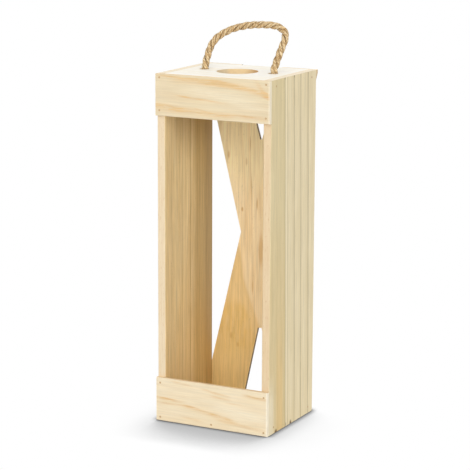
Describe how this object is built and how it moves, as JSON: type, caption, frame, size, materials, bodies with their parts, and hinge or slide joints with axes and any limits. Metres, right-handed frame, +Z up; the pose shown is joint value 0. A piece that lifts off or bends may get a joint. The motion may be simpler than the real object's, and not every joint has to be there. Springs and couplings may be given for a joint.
{
  "type": "wine carrier box",
  "caption": "Tall open-fronted pine carrier for a bottle, with front rails, a cross-shaped back, a neck hole in the top and a knotted rope handle that folds down.",
  "frame": {"origin": "middle of the base: centre of the box's footprint at the lowest face", "axes": "+X across the front to the viewer's right, +Y from the open front to the back, +Z up"},
  "size_m": [0.11, 0.0944, 0.353],
  "materials": {
    "side_pine": "planed, unfinished",
    "board_pine": "planed, unfinished",
    "rail_pine": "planed, unfinished",
    "back_pine": "planed, unfinished",
    "rope": "three-strand natural fibre",
    "brad": "dull"
  },
  "bodies": {
    "box": {"side_left": "side_pine", "side_right": "side_pine", "top_board": "board_pine", "bottom_board": "board_pine", "front_top_rail": "rail_pine", "front_bottom_rail": "rail_pine", "x_back": "back_pine", "rope_knot_left": "rope", "rope_knot_right": "rope", "brads_top_rail": "brad", "brads_bottom_rail": "brad", "brads_left_top": "brad", "brads_left_bottom": "brad", "brads_right_top": "brad", "brads_right_bottom": "brad", "brads_back_top": "brad", "brads_back_bottom": "brad"},
    "handle": {"rope_handle": "rope"}
  },
  "joints": [
    {"name": "handle_swing", "type": "hinge", "parent": "box", "child": "handle", "pos_m": [0, 0.00225, 0.31355], "axis": [1, 0, 0], "range_deg": [-58, 102]}
  ]
}
